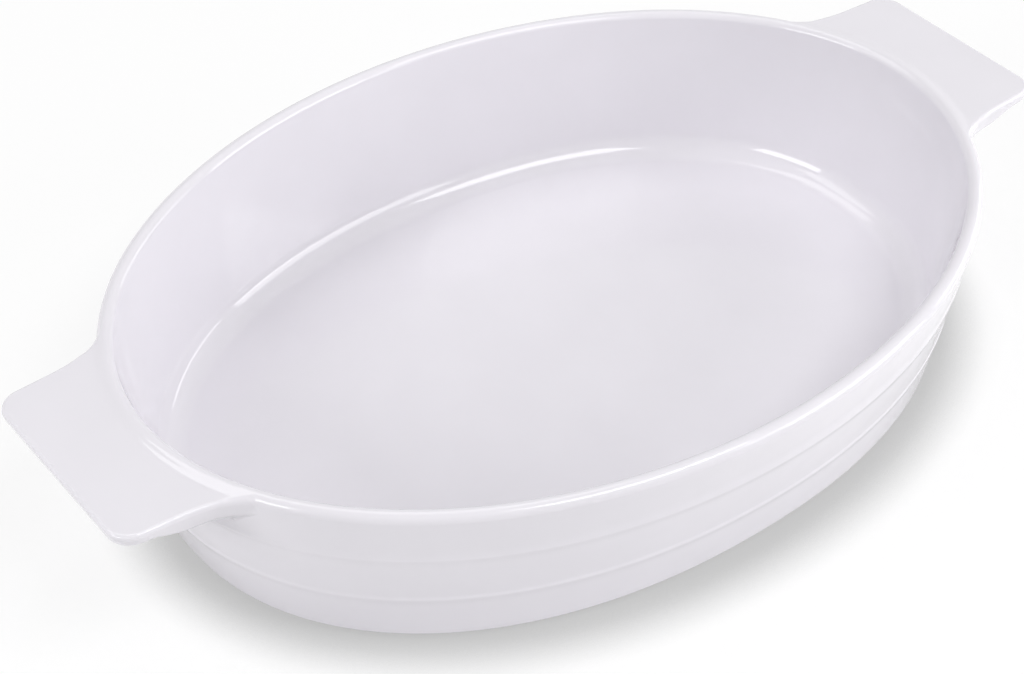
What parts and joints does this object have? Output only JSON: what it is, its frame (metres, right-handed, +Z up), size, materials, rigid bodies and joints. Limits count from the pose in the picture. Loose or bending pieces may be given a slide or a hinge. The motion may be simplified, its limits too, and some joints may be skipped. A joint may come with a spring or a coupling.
{
  "type": "gratin dish",
  "caption": "Oval gratin dish of white glazed stoneware, with leaning sides, a rounded rim, fine raised lines and a flat lug handle at each end.",
  "frame": {"origin": "on the table, under the middle of the dish", "axes": "+X along the dish through the handles, +Y across it, +Z up"},
  "size_m": [0.356, 0.2234, 0.0587],
  "materials": {
    "glaze": "glossy white glaze",
    "bare_stoneware": "unglazed, matte"
  },
  "bodies": {
    "root": {"bowl": "glaze", "left_handle": "glaze", "right_handle": "glaze", "foot_ring": "bare_stoneware"}
  },
  "joints": []
}
